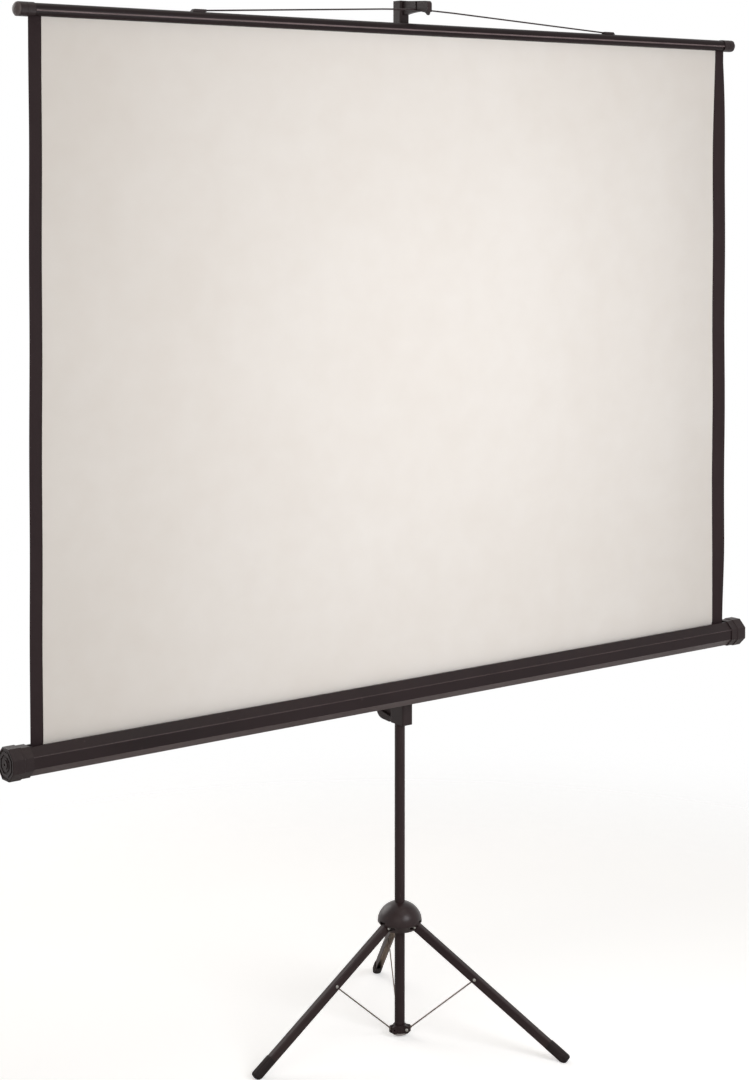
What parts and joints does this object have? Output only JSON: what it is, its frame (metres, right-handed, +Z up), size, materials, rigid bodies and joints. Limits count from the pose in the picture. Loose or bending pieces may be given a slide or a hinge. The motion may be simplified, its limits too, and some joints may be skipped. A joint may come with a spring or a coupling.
{
  "type": "portable projection screen",
  "caption": "Folding tripod screen: a white sheet with black side borders pulled up from a roller case, hung by a wire bail on a hooked telescopic pole",
  "frame": {"origin": "on the floor under the axis of the pole", "axes": "+Z up along the pole, +X along the case and the top bar, the picture side faces -Y"},
  "size_m": [1.903, 0.649, 2.162],
  "materials": {
    "painted_steel": "satin black powder coat",
    "black_plastic": "moulded, fine grain",
    "dome_plastic": "smooth moulded, soft shine",
    "grey_plastic": "smooth grey moulding",
    "rubber": "matt moulded rubber",
    "zinc_steel": "zinc plated",
    "roller_metal": "rolled tube",
    "screen_fabric": "matt white coated cloth",
    "border_tape": "matt black coated cloth"
  },
  "bodies": {
    "base": {"outer_tube": "painted_steel", "tube_plug": "grey_plastic", "stay_bracket": "painted_steel", "tube_collar": "black_plastic", "foot_rivet_1": "zinc_steel", "foot_rivet_2": "zinc_steel", "foot_rivet_3": "zinc_steel"},
    "knob": {"lock_knob": "black_plastic"},
    "hub": {"hub_dome": "dome_plastic", "hub_bush": "black_plastic", "hub_rivet_1": "zinc_steel", "hub_rivet_2": "zinc_steel", "hub_rivet_3": "zinc_steel"},
    "leg_1": {"leg_channel_1": "painted_steel", "leg_foot_1": "rubber", "stay_rivet_1": "zinc_steel"},
    "stay_arm_1": {"stay_1": "zinc_steel"},
    "leg_2": {"leg_channel_2": "painted_steel", "leg_foot_2": "rubber", "stay_rivet_2": "zinc_steel"},
    "stay_arm_2": {"stay_2": "zinc_steel"},
    "leg_3": {"leg_channel_3": "painted_steel", "leg_foot_3": "rubber", "stay_rivet_3": "zinc_steel"},
    "stay_arm_3": {"stay_3": "zinc_steel"},
    "case": {"slide_block": "black_plastic", "brake_shoe": "rubber", "lever_pin": "zinc_steel", "swivel_plate": "zinc_steel", "swivel_bolt": "zinc_steel", "case_plate": "painted_steel", "case_shell": "painted_steel", "end_cap_left": "black_plastic", "end_cap_right": "black_plastic", "spring_arbor": "zinc_steel", "screen_sheet": "screen_fabric", "border_left": "border_tape", "border_right": "border_tape"},
    "lever": {"release_lever": "black_plastic"},
    "roller": {"roller_tube": "roller_metal", "roller_plug_left": "black_plastic", "roller_plug_right": "black_plastic", "roller_spring": "zinc_steel"},
    "rod": {"extension_rod": "painted_steel", "rod_bush": "black_plastic", "hook_head": "black_plastic", "top_bar": "painted_steel", "bar_collar_left": "black_plastic", "bar_collar_right": "black_plastic", "bar_cap_left": "grey_plastic", "bar_cap_right": "grey_plastic", "bail": "painted_steel", "bail_clip_left": "black_plastic", "bail_clip_right": "black_plastic"}
  },
  "joints": [
    {"name": "hub_slide", "type": "slide", "parent": "base", "child": "hub", "axis": [0, 0, 1], "range_m": [0, 0.1369]},
    {"name": "leg_1_fold", "type": "hinge", "parent": "hub", "child": "leg_1", "pos_m": [-0.037, 0, 0.237], "axis": [0, -1, 0], "range_deg": [0, 54.7]},
    {"name": "stay_1_swing", "type": "hinge", "parent": "leg_1", "child": "stay_arm_1", "pos_m": [-0.16912, 0, 0.14326], "axis": [0, -1, 0], "range_deg": [-99.1, 0]},
    {"name": "leg_2_fold", "type": "hinge", "parent": "hub", "child": "leg_2", "pos_m": [0.0185, -0.03204, 0.237], "axis": [0.866, 0.5, 0], "range_deg": [0, 54.7]},
    {"name": "stay_2_swing", "type": "hinge", "parent": "leg_2", "child": "stay_arm_2", "pos_m": [0.08456, -0.14647, 0.14326], "axis": [0.866, 0.5, 0], "range_deg": [-99.1, 0]},
    {"name": "leg_3_fold", "type": "hinge", "parent": "hub", "child": "leg_3", "pos_m": [0.0185, 0.03204, 0.237], "axis": [-0.866, 0.5, 0], "range_deg": [0, 54.7]},
    {"name": "stay_3_swing", "type": "hinge", "parent": "leg_3", "child": "stay_arm_3", "pos_m": [0.08456, 0.14647, 0.14326], "axis": [-0.866, 0.5, 0], "range_deg": [-99.1, 0]},
    {"name": "case_height", "type": "slide", "parent": "base", "child": "case", "axis": [0, 0, 1], "range_m": [0, 0.2]},
    {"name": "rod_height", "type": "slide", "parent": "case", "child": "rod", "axis": [0, 0, 1], "range_m": [-0.87, 0], "deforming": ["screen_sheet", "border_left", "border_right"]},
    {"name": "roller_turn", "type": "hinge", "parent": "case", "child": "roller", "pos_m": [0, -0.06, 0.7445], "axis": [1, 0, 0], "range_deg": [-3100, 0]},
    {"name": "lever_squeeze", "type": "hinge", "parent": "case", "child": "lever", "pos_m": [0, 0.022, 0.708], "axis": [1, 0, 0], "range_deg": [0, 15], "stiffness_Nm_per_rad": 0.3, "springref_deg": -8.59},
    {"name": "knob_turn", "type": "hinge", "parent": "base", "child": "knob", "pos_m": [0, 0.031, 1.2], "axis": [0, 1, 0], "range_deg": [-180, 0]}
  ],
  "couplings": [
    {"joint": "leg_1_fold", "follows": "hub_slide", "rad_per_m": 6.9667},
    {"joint": "stay_1_swing", "follows": "hub_slide", "rad_per_m": -12.615},
    {"joint": "leg_2_fold", "follows": "hub_slide", "rad_per_m": 6.9667},
    {"joint": "stay_2_swing", "follows": "hub_slide", "rad_per_m": -12.615},
    {"joint": "leg_3_fold", "follows": "hub_slide", "rad_per_m": 6.9667},
    {"joint": "stay_3_swing", "follows": "hub_slide", "rad_per_m": -12.615},
    {"joint": "roller_turn", "follows": "rod_height", "rad_per_m": 62}
  ]
}
